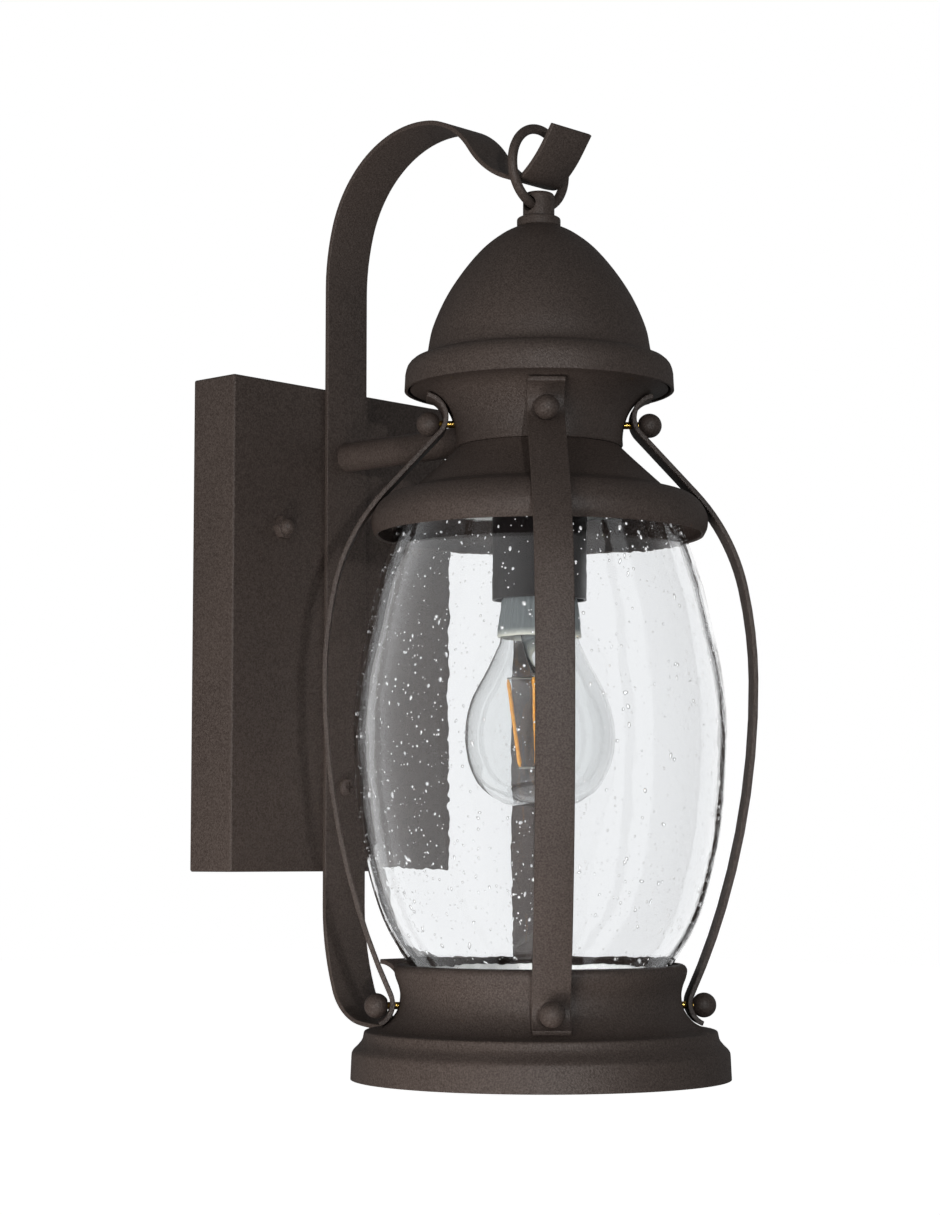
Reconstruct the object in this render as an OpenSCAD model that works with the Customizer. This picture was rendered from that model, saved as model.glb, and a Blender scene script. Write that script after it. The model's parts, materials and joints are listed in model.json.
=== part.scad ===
// Outdoor wall lantern: a seeded glass barrel between a spun roof and base, held by four bowed
// straps, on an arm and one long scrolled flat bar from a box-pan backplate.
// Frame: origin on the wall plane, midway between the wall box's two screws, +Y into the wall, +Z up.
// Lantern parts are drawn about the lantern's axis, with z counted from the base's bottom edge.

/* [Layout] */
// Distance from the wall to the lantern's axis
reach = 138.5; // [138:0.5:142]
// Height of the origin above the base's bottom edge
origin_h = 228.2; // [226:0.1:230]

/* [Backplate] */
// Width of the backplate
plate_w = 130; // [120:1:150]
// Height of the backplate
plate_h = 209; // [200:1:220]
// Depth of the box pan
plate_d = 25; // [22:0.5:25]
// Sheet thickness of the spun and folded shells
sheet = 1.2; // [1:0.1:1.4]
// Spacing of the two mounting studs
stud_spacing = 75.3; // [74:0.1:77]
// Distance of the backplate's middle below the origin
plate_drop = 41.7; // [38:0.1:44]
// Spacing of the crossbar's holes to the wall box
box_spacing = 88.9; // [88:0.1:89.5]

/* [Scrolled bar] */
// Width of the flat bar
bar_w = 24; // [22:0.5:24]
// Thickness of the flat bar
bar_t = 2; // [1.8:0.1:2.2]
// Height of the arm above the origin
arm_z = 33.7; // [33:0.1:35]
// Height of the bar screw above the origin
bar_screw_z = -109.9; // [-115:0.1:-100]
// Outer diameter of the arm tube
arm_od = 12.7; // [12:0.1:13.4]

/* [Ring and finial] */
// Radius of the ring to the middle of its wire
ring_r = 16.2; // [16.1:0.05:16.4]
// Diameter of the ring's wire
ring_wire = 4; // [3.8:0.1:4.1]
// Height of the finial's cross hole above the base's bottom edge
ring_z = 355.2; // [355:0.1:355.4]

/* [Lantern] */
// Radius of the base's bottom edge
base_r = 76.2; // [75.5:0.1:77]
// Wall of the glass barrel
glass_t = 2.2; // [1.8:0.1:2.6]
// Width of a strap
strap_w = 15; // [13:0.5:16]
// Thickness of a strap
strap_t = 2; // [1.6:0.1:2]
// Diameter of a ball nut
ball_d = 10; // [9:0.1:10.2]
// Height of the upper ball nuts
nut_top_z = 264.2; // [263.5:0.1:265]
// Height of the lower ball nuts
nut_low_z = 28.9; // [28.5:0.1:29.5]

/* [Bulb] */
// Largest radius of the bulb
bulb_r = 30.4; // [29:0.1:31]
// Clearance round the bulb's screw cap
cap_gap = 0.3; // [0.3:0.05:0.4]

/* [Hidden] */
$fn = 64;

bronze = "#3f3631";
brass = "#b08d4a";
zinc = "#a7a9ab";
eps = 0.01;
// Azimuth of each diagonal strap
front_left = 225;
front_right = 315;
back_left = 135;
back_right = 45;
diagonals = [front_left, front_right, back_left, back_right];

// Chain of arcs: each step is [radius, turn in degrees], and [0, length] is a straight
turn_step = 6;
function arc_pts(p, r, a) =
  let (s = sign(a), c = p + s * r * [-sin(p[2]), cos(p[2]), 0], n = ceil(abs(a) / turn_step))
  [for (i = [1:n]) let (g = p[2] + a * i / n) [c[0] + s * r * sin(g), c[1] - s * r * cos(g), g]];
function step_pts(p, s) =
  s[0] == 0 ? [[p[0] + s[1] * cos(p[2]), p[1] + s[1] * sin(p[2]), p[2]]] : arc_pts(p, s[0], s[1]);
function chain(p, steps, i = 0) =
  i == len(steps) ? [] :
  let (new = step_pts(p, steps[i])) concat(new, chain(new[len(new) - 1], steps, i + 1));
// A point moved sideways off the chain, to its left
function beside(p, d) = [p[0] - d * sin(p[2]), p[1] + d * cos(p[2])];
function backwards(v) = [for (i = [len(v) - 1:-1:0]) v[i]];
// Closed outline of a strip that lies between two offsets of a chain
function strip(path, d1, d2) =
  concat([for (p = path) beside(p, d1)], [for (p = backwards(path)) beside(p, d2)]);

// Smooth curve through key points
function pick(k, i) = k[min(max(i, 0), len(k) - 1)];
function curve(k, n = 5) =
  concat([for (i = [0:len(k) - 2], j = [0:n - 1])
    let (t = j / n, a = pick(k, i - 1), b = k[i], c = k[i + 1], d = pick(k, i + 2))
    0.5 * (2 * b + (c - a) * t + (2 * a - 5 * b + 4 * c - d) * t * t + (3 * b - a - 3 * c + d) * t * t * t)],
    [k[len(k) - 1]]);
// A profile moved by t to its right, for the other face of a sheet
function across(a, b) = let (d = b - a) [d[1], -d[0]] / norm(d);
function moved(v, t) =
  [for (i = [0:len(v) - 1])
    let (n = len(v) - 1, a = across(v[max(i - 1, 0)], v[max(i, 1)]),
      b = across(v[min(i, n - 1)], v[min(i + 1, n)]), m = (a + b) / norm(a + b))
    v[i] + m * t / (a * m)];
module spun_sheet(outline, t) rotate_extrude($fn = 96) polygon(concat(outline, backwards(moved(outline, t))));

module at_lantern() translate([0, -reach, -origin_h]) children();
module hex_nut(af, h, bore) difference() {
  cylinder(h = h, d = af / cos(30), $fn = 6);
  translate([0, 0, -1]) cylinder(h = h + 2, d = bore);
}
module along_y(x, y, z) translate([x, y, z]) rotate([90, 0, 0]) children();
module radial(a, r, z) rotate([0, 0, a]) translate([r, 0, z]) rotate([0, 90, 0]) children();

// ---- backplate and what fixes it to the wall ----
module backplate() color(bronze) difference() {
  translate([-plate_w / 2, -plate_d, -plate_drop - plate_h / 2]) cube([plate_w, plate_d, plate_h]);
  translate([-plate_w / 2 + sheet, -plate_d + sheet, -plate_drop - plate_h / 2 + sheet])
    cube([plate_w - 2 * sheet, plate_d, plate_h - 2 * sheet]);
  for (x = [-1, 1]) along_y(x * stud_spacing / 2, -plate_d + 2, 0) cylinder(h = 4, d = 4.6);
  along_y(0, -plate_d + 2, arm_z) cylinder(h = 4, d = 10);
  along_y(0, -plate_d + 2, bar_screw_z) cylinder(h = 4, d = 4.2);
}
module mounting_crossbar() color(zinc) difference() {
  translate([-55, -2, -9]) cube([110, 2, 18]);
  for (x = [-1, 1]) {
    along_y(x * box_spacing / 2, 1, 0) cylinder(h = 6, d = 4.4);
    along_y(x * stud_spacing / 2, 1, 0) cylinder(h = 6, d = 4);
  }
  along_y(0, 1, 0) cylinder(h = 6, d = 11);
  along_y(20, 1, 0) cylinder(h = 6, d = 3.5);
}
module mounting_studs() color(zinc)
  for (x = [-1, 1]) along_y(x * stud_spacing / 2, 0, 0) cylinder(h = plate_d + 6.2, d = 4);
// Hexagon cap nuts with a domed end
module cap_nuts() color(bronze)
  for (x = [-1, 1]) along_y(x * stud_spacing / 2, -plate_d, 0) difference() {
    union() {
      rotate([0, 0, 30]) cylinder(h = 3.6, d = 9.2, $fn = 6);
      rotate_extrude() intersection() {
        translate([0, 3.2]) circle(r = 3.9);
        translate([0, 3.6]) square([4, 4]);
      }
    }
    translate([0, 0, -1]) cylinder(h = 7.4, d = 4);
  }
module ground_screw() color("#2f7a46") along_y(20, -2, 0) union() {
  cylinder(h = 2.6, d = 8 / cos(30), $fn = 6);
  translate([0, 0, -2]) cylinder(h = 2 + eps, d = 3.5);
}

// ---- the long scrolled flat bar ----
// Side outline, u forward from the middle of the flat run, v up from the base's bottom edge
bar_up = chain([0, 310, 90], [[0, 25.5], [90.3, -17.1], [51.6, -79.6], [35.3, -48.5], [44, 41.9], [5, 48.6],
  [47.6, 19.3], [0, 8.6]]);
bar_down = chain([0, 84, -90], [[0, 16.4], [107.1, 19.4], [20.5, 60], [69, 9.7], [13.6, 180.2]]);
module bracket_bar() color(bronze) difference() {
  translate([0, -plate_d - bar_t / 2, -origin_h]) rotate([90, 0, -90])
    translate([0, 0, -bar_w / 2]) linear_extrude(bar_w) polygon(concat(
      [for (p = backwards(bar_down)) beside(p, -bar_t / 2)], [for (p = bar_up) beside(p, bar_t / 2)],
      [for (p = backwards(bar_up)) beside(p, -bar_t / 2)], [for (p = bar_down) beside(p, bar_t / 2)]));
  along_y(0, -plate_d + 2, arm_z) cylinder(h = 8, d = 10);
  along_y(0, -plate_d + 2, bar_screw_z) cylinder(h = 8, d = 4.2);
}
module bar_screw() color(bronze) along_y(0, -plate_d - bar_t, bar_screw_z) difference() {
  union() {
    intersection() {
      translate([0, 0, -3]) sphere(r = 5.8);
      cylinder(h = 2.4, d = 8);
    }
    translate([0, 0, -9]) cylinder(h = 9 + eps, d = 4);
  }
  for (a = [0, 90]) rotate([0, 0, a]) translate([-2, -0.5, 1.4]) cube([4, 1, 3]);
}
module bar_screw_nut() color(zinc)
  along_y(0, -plate_d + sheet + 3.2, bar_screw_z) hex_nut(7, 3.2, 4);

// ---- arm: a sleeve on a threaded pipe between the bar and the neck ----
neck_keys = [[34.2, 255.5], [34.1, 259], [35, 264.3], [37.4, 270], [41.6, 274.9], [46.6, 277.5], [52.8, 278.4]];
neck_outline = concat([[5, 254.3], [33.6, 254.3]], curve(neck_keys));
module arm_tube() color(bronze) difference() {
  along_y(0, -plate_d - bar_t, arm_z) difference() {
    cylinder(h = reach - 33 - plate_d - bar_t, d = arm_od);
    translate([0, 0, -1]) cylinder(h = reach, d = 9.7);
  }
  at_lantern() rotate_extrude($fn = 96)
    polygon(concat([[0, 250]], [for (p = curve(neck_keys)) p], [[0, 278.4]]));
}
module arm_pipe() color(zinc) along_y(0, -17, arm_z) difference() {
  cylinder(h = reach - 24.5 - 17, d = 9.5);
  translate([0, 0, -1]) cylinder(h = reach, d = 6.6);
}
module arm_nuts() color(zinc) {
  along_y(0, -plate_d + sheet + 4, arm_z) hex_nut(12.5, 4, 9.5);
  along_y(0, -reach + 31.6, arm_z) hex_nut(12.5, 4, 9.5);
}

// ---- ring, finial and dome cap ----
module ring() color(bronze) at_lantern() translate([0, 0, ring_z + ring_r]) rotate([90, 0, 0])
  rotate_extrude($fn = 96) translate([ring_r, 0]) circle(d = ring_wire, $fn = 32);
module finial_post() color(bronze) at_lantern() difference() {
  rotate_extrude() polygon([[0, 350.5], [6.5, 350.5], [6.5, 359.3], [6.1, 360.3], [5, 360.8], [0, 360.8]]);
  translate([-10, 0, ring_z + 0.5]) rotate([0, 90, 0]) cylinder(h = 20, r = 3.25);
  translate([0, 0, 350]) cylinder(h = 2, d = 9.5);
}
module finial_collar() color(bronze) at_lantern()
  rotate_extrude() polygon([[4.75, 346.4], [9, 346.4], [9, 349.6], [8.1, 350.5], [4.75, 350.5]]);
dome_outline = concat([[55.2, 278], [55, 282], [54.5, 286.4], [53, 289.2], [50, 291]],
  curve([[46.3, 292.6], [43.9, 303.5], [38.6, 315.9], [31.4, 327.2], [23.3, 336.8], [15.4, 343.1],
    [9.5, 346.2]]), [[4.9, 346.4]]);
module dome_cap() color(bronze) at_lantern() spun_sheet(dome_outline, -sheet);

// ---- neck and roof ----
module neck() color(bronze) at_lantern() difference() {
  spun_sheet(neck_outline, -sheet);
  for (a = diagonals) radial(a, 30, nut_top_z) cylinder(h = 10, d = 3.2);
  rotate([0, 0, 90]) radial(0, 28, origin_h + arm_z) cylinder(h = 12, d = 10);
}
roof_outline = concat([[5, 254.3], [33.4, 254.3]], curve([[33.4, 254.3], [38, 249.8], [44, 244.2], [51.6, 237.2]], 2),
  curve([[51.6, 237.2], [57.8, 235.5], [62.2, 234], [66, 230.6], [68.3, 226], [68.3, 221.4], [66.8, 218.2]], 4));
roof_clean = [for (i = [0:len(roof_outline) - 1])
  if (i == 0 || norm(roof_outline[i] - roof_outline[i - 1]) > eps) roof_outline[i]];
module roof() color(bronze) at_lantern() spun_sheet(roof_clean, sheet);
module centre_pipe() color(zinc) at_lantern() difference() {
  translate([0, 0, 228]) cylinder(h = 123.9, d = 9.5);
  translate([0, 0, 227]) cylinder(h = 130, d = 6.6);
  translate([-2.6, 0, 257]) cube([5.2, 8, 12]);
}
module pipe_nuts() color(zinc) at_lantern()
  for (z = [236, 249.1, 255.5, 341]) translate([0, 0, z]) hex_nut(14, 4, 9.5);

// ---- lampholder ----
module socket_cover() color("#2b2624") at_lantern() difference() {
  translate([0, 0, 191.9]) cylinder(h = 44.1, r = 19.2);
  translate([0, 0, 190]) cylinder(h = 44.8, r = 18.2);
  cylinder(h = 300, d = 9.6);
}
module lampholder_body() color("#ece8df") at_lantern() difference() {
  translate([0, 0, 197]) cylinder(h = 37.8, r = 17);
  translate([0, 0, 196]) cylinder(h = 25.2, r = 14);
  translate([0, 0, 228]) cylinder(h = 8, d = 9.5);
  translate([0, 0, 220]) cylinder(h = 9, d = 6);
}
module screw_shell() color(brass) at_lantern() difference() {
  translate([0, 0, 193.6]) cylinder(h = 27.6, r = 14);
  translate([0, 0, 193]) cylinder(h = 27.6, r = 13 + cap_gap);
  cylinder(h = 300, r = 5.5);
}
module holder_contact() color(brass) at_lantern() translate([0, 0, 219.2]) union() {
  cylinder(h = 0.6, r = 3.6);
  cylinder(h = 3, r = 2.9);
}

// ---- bulb ----
module bulb_cap() color(zinc) at_lantern() difference() {
  translate([0, 0, 193]) cylinder(h = 22, r = 13);
  translate([0, 0, 192]) cylinder(h = 22.2, r = 12.6);
  cylinder(h = 300, r = 8);
}
module bulb_insulator() color("#1d1c1b") at_lantern()
  rotate_extrude() polygon([[0, 212], [8, 212], [8, 215], [10, 215], [5, 217.4], [0, 217.4]]);
module bulb_contact() color(zinc) at_lantern() translate([0, 0, 217.4]) cylinder(h = 1.3, r = 3.6);
module bulb_collar() color("#b9bbb9") at_lantern()
  rotate_extrude() polygon([[17.2, 176.7], [16.6, 184], [15.7, 191.6], [14.4, 193],
    [12.4, 193], [12.4, 190.5], [14.6, 190.5], [15.9, 176.7]]);
bulb_outline = concat([[12, 190.2], [14.2, 190.2]], curve([[14.9, 184], [15.7, 176.9], [18.6, 169.4], [23.8, 159.6],
  [28.4, 149.6], [bulb_r, 138.4], [29, 126.6], [24, 116.4], [15.4, 110], [7, 108.5]]), [[0, 108.4]]);
module bulb_envelope() color("#e8eef0", 0.3) at_lantern() rotate_extrude($fn = 96)
  polygon(concat(bulb_outline, [[0, 109.2]], backwards([for (p = moved(bulb_outline, 0.8))
    if (p[1] < 190 && p[0] > 1) p]), [[12, 189.4]]));
module bulb_stem() color("#dfe6e8", 0.4) at_lantern()
  rotate_extrude() polygon([[0, 192], [11.9, 192], [11.9, 190.8], [8.4, 188], [7.8, 177], [6.4, 171], [4.4, 165.5], [2.6, 162], [0, 161.6]]);
// Four amber filament rods on a cone, top ends wide
fil_top = [13.2, 159.8];
fil_low = [8.2, 124.6];
fil_lean = atan2(fil_top[0] - fil_low[0], fil_top[1] - fil_low[1]);
fil_turn = 31;
module bulb_filaments() color("#e8a94f") at_lantern()
  for (a = [0:90:270]) rotate([0, 0, a + fil_turn]) translate([fil_low[0], 0, fil_low[1]])
    rotate([0, fil_lean, 0]) cylinder(h = norm(fil_top - fil_low), d = 1.6, $fn = 24);
// Wire spider above the rods, and a wire post with a second spider below them
module bulb_supports() color(zinc) at_lantern() {
  for (a = [0:90:270]) rotate([0, 0, a + fil_turn]) {
    translate([0, 0, 160.32]) rotate([0, 90, 0]) cylinder(h = fil_top[0] + 0.4, d = 0.8, $fn = 16);
    translate([0, 0, 124.06]) rotate([0, 90, 0]) cylinder(h = fil_low[0] + 0.4, d = 0.8, $fn = 16);
  }
  translate([0, 0, 123.6]) cylinder(h = 38, d = 0.9, $fn = 16);
}

// ---- glass barrel and its gaskets ----
glass_outline = curve([[54.6, 231.2], [58.2, 221.6], [65.6, 200.2], [70.3, 179.5], [73.8, 161.7], [75.5, 143],
  [75.1, 125], [73, 102], [69.2, 82], [63.4, 63.5], [56.2, 50], [48.6, 39.6]], 4);
module glass_shade() color("#dfe6e8", 0.35) at_lantern() spun_sheet(glass_outline, glass_t);
// Soft rings that cap the barrel's two rims; the lower one has a lip inside the glass
module upper_gasket() color("#d9dbd9") at_lantern()
  rotate_extrude($fn = 96) polygon([[50.6, 231.3], [55.4, 231.3], [55.4, 234.8], [50.6, 234.8]]);
module lower_gasket() color("#d9dbd9") at_lantern()
  rotate_extrude($fn = 96) polygon([[44.4, 35.6], [50.6, 35.6], [50.6, 39.5], [46.2, 39.5], [46.2, 43.4],
    [44.4, 43.4]]);

// ---- base ----
base_outline = concat([[55.2, 45.4], [57, 45.4], [58.4, 44.3], [58.8, 42.5]], curve([[58.2, 40], [56.9, 36.4],
  [56.4, 32.6], [57.4, 27.4], [60.8, 22.8], [65, 20.3], [70, 19.2]], 3),
  [[70.8, 18.6], [71.6, 15.4], [74.4, 12.2], [75.4, 11.1], [75.8, 9.8], [base_r, 0]]);
module base() color(bronze) at_lantern() difference() {
  spun_sheet(base_outline, sheet);
  for (a = diagonals) radial(a, 50, nut_low_z) cylinder(h = 12, d = 3.2);
}
module base_seat() color(bronze) at_lantern()
  rotate_extrude($fn = 96) polygon([[44, 34.4], [55.1, 34.4], [55.1, 35.6], [44, 35.6]]);

// ---- straps, studs and ball nuts ----
// Outer face of a strap, from its widest point up to the curl and down to the flare
strap_up = chain([88.1, 160, 90], [[181.9, 11.9], [82.2, 30.9], [0, 33.2], [8.2, -124]]);
strap_down = chain([88.1, 160, -90], [[315.9, -17], [280, -7.6], [7.6, 92]]);
module strap(a) color(bronze) at_lantern() difference() {
  rotate([90, 0, a]) translate([0, 0, -strap_w / 2]) linear_extrude(strap_w)
    polygon(concat([for (p = backwards(strap_up)) beside(p, strap_t)], [beside([88.1, 160, 90], strap_t)],
      [for (p = strap_down) beside(p, -strap_t)], [for (p = backwards(strap_down)) beside(p, 0)],
      [[88.1, 160]], [for (p = strap_up) beside(p, 0)]));
  radial(a, 32, nut_top_z) cylinder(h = 12, d = 3.8);
  radial(a, 50, nut_low_z) cylinder(h = 14, d = 3.8);
}
module strap_front_left() strap(front_left);
module strap_front_right() strap(front_right);
module strap_back_left() strap(back_left);
module strap_back_right() strap(back_right);
// Ball nut with a flat face toward the strap and a blind running hole
top_ball_r = 45.3;
low_ball_r = 65.8;
stud_d = 3;
ball_fit = 0.05;
module ball_nut(a, r, z) color(bronze) at_lantern() radial(a, r, z) difference() {
  sphere(d = ball_d, $fn = 48);
  translate([0, 0, -ball_d]) cylinder(h = ball_d - 4.4, d = ball_d);
  translate([0, 0, -ball_d]) cylinder(h = ball_d + 2.4, d = stud_d + 2 * ball_fit);
}
module upper_ball_front_left() ball_nut(front_left, top_ball_r, nut_top_z);
module upper_ball_front_right() ball_nut(front_right, top_ball_r, nut_top_z);
module upper_ball_back_left() ball_nut(back_left, top_ball_r, nut_top_z);
module upper_ball_back_right() ball_nut(back_right, top_ball_r, nut_top_z);
module lower_ball_front_left() ball_nut(front_left, low_ball_r, nut_low_z);
module lower_ball_front_right() ball_nut(front_right, low_ball_r, nut_low_z);
module lower_ball_back_left() ball_nut(back_left, low_ball_r, nut_low_z);
module lower_ball_back_right() ball_nut(back_right, low_ball_r, nut_low_z);
module studs(r1, r2, z) color(brass) at_lantern()
  for (a = diagonals) radial(a, r1, z) cylinder(h = r2 - r1, d = stud_d);
module upper_studs() studs(28.6, top_ball_r + 2, nut_top_z);
module lower_studs() studs(49.6, low_ball_r + 2, nut_low_z);
module stud_nuts(r, z) color(brass) at_lantern()
  for (a = diagonals) radial(a, r, z) hex_nut(5.5, 2.4, stud_d);
module upper_stud_nuts() stud_nuts(30.3, nut_top_z);
module lower_stud_nuts() stud_nuts(52.7, nut_low_z);

backplate();
mounting_crossbar();
mounting_studs();
cap_nuts();
ground_screw();
bracket_bar();
bar_screw();
bar_screw_nut();
arm_tube();
arm_pipe();
arm_nuts();
ring();
finial_post();
finial_collar();
dome_cap();
neck();
roof();
centre_pipe();
pipe_nuts();
socket_cover();
lampholder_body();
screw_shell();
holder_contact();
bulb_cap();
bulb_insulator();
bulb_contact();
bulb_collar();
bulb_envelope();
bulb_stem();
bulb_filaments();
bulb_supports();
glass_shade();
upper_gasket();
lower_gasket();
base();
base_seat();
strap_front_left();
strap_front_right();
strap_back_left();
strap_back_right();
upper_ball_front_left();
upper_ball_front_right();
upper_ball_back_left();
upper_ball_back_right();
lower_ball_front_left();
lower_ball_front_right();
lower_ball_back_left();
lower_ball_back_right();
upper_studs();
lower_studs();
upper_stud_nuts();
lower_stud_nuts();
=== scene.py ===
import json
import math
import random

import bmesh
import bpy
from mathutils import Matrix, Vector


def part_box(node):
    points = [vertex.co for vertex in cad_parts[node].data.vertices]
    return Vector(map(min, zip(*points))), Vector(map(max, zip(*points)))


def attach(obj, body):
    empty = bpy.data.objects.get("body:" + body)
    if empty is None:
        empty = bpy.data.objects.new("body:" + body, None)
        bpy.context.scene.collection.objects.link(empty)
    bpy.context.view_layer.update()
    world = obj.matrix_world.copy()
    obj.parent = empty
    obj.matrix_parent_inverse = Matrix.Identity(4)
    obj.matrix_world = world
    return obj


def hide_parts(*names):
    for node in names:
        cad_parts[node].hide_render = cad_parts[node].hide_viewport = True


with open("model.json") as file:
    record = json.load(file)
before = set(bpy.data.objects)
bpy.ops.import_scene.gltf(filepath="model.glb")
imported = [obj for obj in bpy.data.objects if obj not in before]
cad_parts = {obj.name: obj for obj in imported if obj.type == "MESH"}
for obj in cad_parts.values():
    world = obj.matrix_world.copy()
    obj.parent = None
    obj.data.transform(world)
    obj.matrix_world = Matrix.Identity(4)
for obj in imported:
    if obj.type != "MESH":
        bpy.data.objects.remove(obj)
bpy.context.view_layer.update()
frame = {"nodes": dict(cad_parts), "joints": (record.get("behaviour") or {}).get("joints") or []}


# ---------------------------------------------------------------- backplate
# The backplate is a shallow box pan of sheet steel, cut, folded and welded at its corners. It covers
# the wall box, its rim stands on the wall, and like all the ironwork it is powder coated in dark
# bronze with a fine sand texture.
MM = 0.001
SHEET = 1.2 * MM
PLATE_FOLD = 1.1 * MM


def start_piece(name, add_primitive, **place):
    """Adds a primitive with nothing else selected, names it, and puts its place in its mesh."""
    bpy.ops.object.select_all(action="DESELECT")
    add_primitive(**place)
    piece = bpy.context.object
    piece.name = name
    piece.data.name = name
    bpy.ops.object.transform_apply(location=True, rotation=True, scale=True)
    return piece


def choose(piece, kind, test):
    """In edit mode, selects only the VERT, EDGE or FACE elements that pass the test."""
    bpy.ops.mesh.select_mode(type=kind)
    bpy.ops.mesh.select_all(action="DESELECT")
    mesh = bmesh.from_edit_mesh(piece.data)
    parts = {"VERT": mesh.verts, "EDGE": mesh.edges, "FACE": mesh.faces}[kind]
    for part in parts:
        if test(part):
            part.select_set(True)
    mesh.select_flush_mode()
    bmesh.update_edit_mesh(piece.data)


def edit(piece):
    """Opens one piece in edit mode with everything on it selected."""
    bpy.ops.object.select_all(action="DESELECT")
    bpy.context.view_layer.objects.active = piece
    piece.select_set(True)
    bpy.ops.object.mode_set(mode="EDIT")
    bpy.ops.mesh.select_mode(type="VERT")
    bpy.ops.mesh.select_all(action="SELECT")


def leave_edit():
    bpy.ops.object.mode_set(mode="OBJECT")


def apply_modifier(piece, kind, **settings):
    """Adds one modifier to the piece and applies it."""
    bpy.context.view_layer.objects.active = piece
    modifier = piece.modifiers.new(kind.title(), kind)
    for setting, value in settings.items():
        setattr(modifier, setting, value)
    bpy.ops.object.modifier_apply(modifier=modifier.name)


def smooth(piece, degrees=35):
    """Shades the piece smooth, with creases where it bends by more than the angle."""
    bpy.ops.object.select_all(action="DESELECT")
    bpy.context.view_layer.objects.active = piece
    piece.select_set(True)
    bpy.ops.object.shade_smooth_by_angle(angle=math.radians(degrees))


def linear(hex_colour):
    """Turns an sRGB hex colour into the linear RGBA that the shaders take."""
    channels = [int(hex_colour[i : i + 2], 16) / 255 for i in (1, 3, 5)]
    return [c / 12.92 if c <= 0.04045 else ((c + 0.055) / 1.055) ** 2.4 for c in channels] + [1.0]


def new_material(name):
    """Makes an empty node material and returns it with its tree, shader and Object coordinates."""
    material = bpy.data.materials.new(name)
    material.use_nodes = True
    tree = material.node_tree
    shader = tree.nodes["Principled BSDF"]
    place = tree.nodes.new("ShaderNodeTexCoord").outputs["Object"]
    return material, tree, shader, place


def add_node(tree, kind, settings=None, inputs=None):
    """Adds a node: an input given as an output socket is linked, and any other value is set."""
    node = tree.nodes.new(kind)
    for setting, value in (settings or {}).items():
        setattr(node, setting, value)
    for name, value in (inputs or {}).items():
        if isinstance(value, bpy.types.NodeSocket):
            tree.links.new(value, node.inputs[name])
        else:
            node.inputs[name].default_value = value
    return node


def ramp(tree, factor, stops):
    """Adds a colour ramp through (position, colour) stops and returns its colour."""
    node = add_node(tree, "ShaderNodeValToRGB", inputs={"Fac": factor})
    while len(node.color_ramp.elements) < len(stops):
        node.color_ramp.elements.new(0.5)
    for element, (position, colour) in zip(node.color_ramp.elements, stops):
        element.position = position
        element.color = colour
    return node.outputs["Color"]


def dress_cad(material, *names):
    """Gives CAD nodes that stay in sight a finished material."""
    for name in names:
        for material_slot in frame["nodes"][name].material_slots:
            material_slot.material = material


def finish_piece(piece, material, body, slot, *nodes):
    """Gives a finished piece its material, its body and the CAD nodes it stands for. The slot is not used.
    """
    piece.data.materials.clear()
    piece.data.materials.append(material)
    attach(piece, body)
    if nodes:
        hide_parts(*nodes)


# Powder coat is thick polyester paint, sprayed dry and baked. Sand in it gives grains of about half a
# millimetre, so the eye sees a soft sheen broken into fine sparkle, and a slow drift of tone.
powder_coat, tree, shader, place = new_material("sand_texture_powder_coat")
grain = add_node(tree, "ShaderNodeTexNoise", inputs={"Vector": place, "Scale": 1500.0, "Detail": 2.0})
drift = add_node(tree, "ShaderNodeTexNoise", inputs={"Vector": place, "Scale": 28.0, "Detail": 3.0})
grain_tone = ramp(tree, grain.outputs["Fac"], [(0.32, linear("#271f1b")), (0.72, linear("#514843"))])
drift_tone = ramp(tree, drift.outputs["Fac"], [(0.35, linear("#342b27")), (0.7, linear("#3d332e"))])
coat_tone = add_node(tree, "ShaderNodeMix", {"data_type": "RGBA"}, {"Factor": 0.4})
tree.links.new(grain_tone, coat_tone.inputs[6])
tree.links.new(drift_tone, coat_tone.inputs[7])
tree.links.new(coat_tone.outputs[2], shader.inputs["Base Color"])
grain_sheen = add_node(tree, "ShaderNodeMapRange", inputs={"Value": grain.outputs["Fac"],
    "From Min": 0.3, "From Max": 0.7, "To Min": 0.62, "To Max": 0.48})
tree.links.new(grain_sheen.outputs["Result"], shader.inputs["Roughness"])
grain_bump = add_node(tree, "ShaderNodeBump", inputs={"Height": grain.outputs["Fac"],
    "Strength": 0.7, "Distance": 0.0003})
tree.links.new(grain_bump.outputs["Normal"], shader.inputs["Normal"])

plate_lo, plate_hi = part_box("backplate")
backplate = start_piece("backplate_pan", bpy.ops.mesh.primitive_cube_add, size=1,
    location=(plate_lo + plate_hi) / 2, scale=plate_hi - plate_lo)
edit(backplate)
choose(backplate, "FACE", lambda face: face.normal.y > 0.9)
bpy.ops.mesh.delete(type="FACE")
choose(backplate, "EDGE", lambda line: min(v.co.y for v in line.verts) < plate_lo.y + MM)
bpy.ops.mesh.bevel(offset=PLATE_FOLD, segments=4, affect="EDGES")
leave_edit()
apply_modifier(backplate, "SOLIDIFY", thickness=SHEET, offset=-1, use_even_offset=True)
smooth(backplate)
finish_piece(backplate, powder_coat, "fixture", "bronze", "backplate")


# ---------------------------------------------------------------- crossbar, studs and cap nuts
# A plated steel strap screws to the wall box and carries two long studs. The backplate slips over the
# studs and two small domed cap nuts, coated like the plate, hold it to the wall.
CAP_NUT_FLATS = 9.2 * MM
CAP_NUT_SKIRT = 3.6 * MM
CAP_NUT_DOME = 3.9 * MM
CAP_NUT_CHAMFER = 0.5 * MM
CAP_NUT_DOME_SUNK = 0.4 * MM

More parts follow.
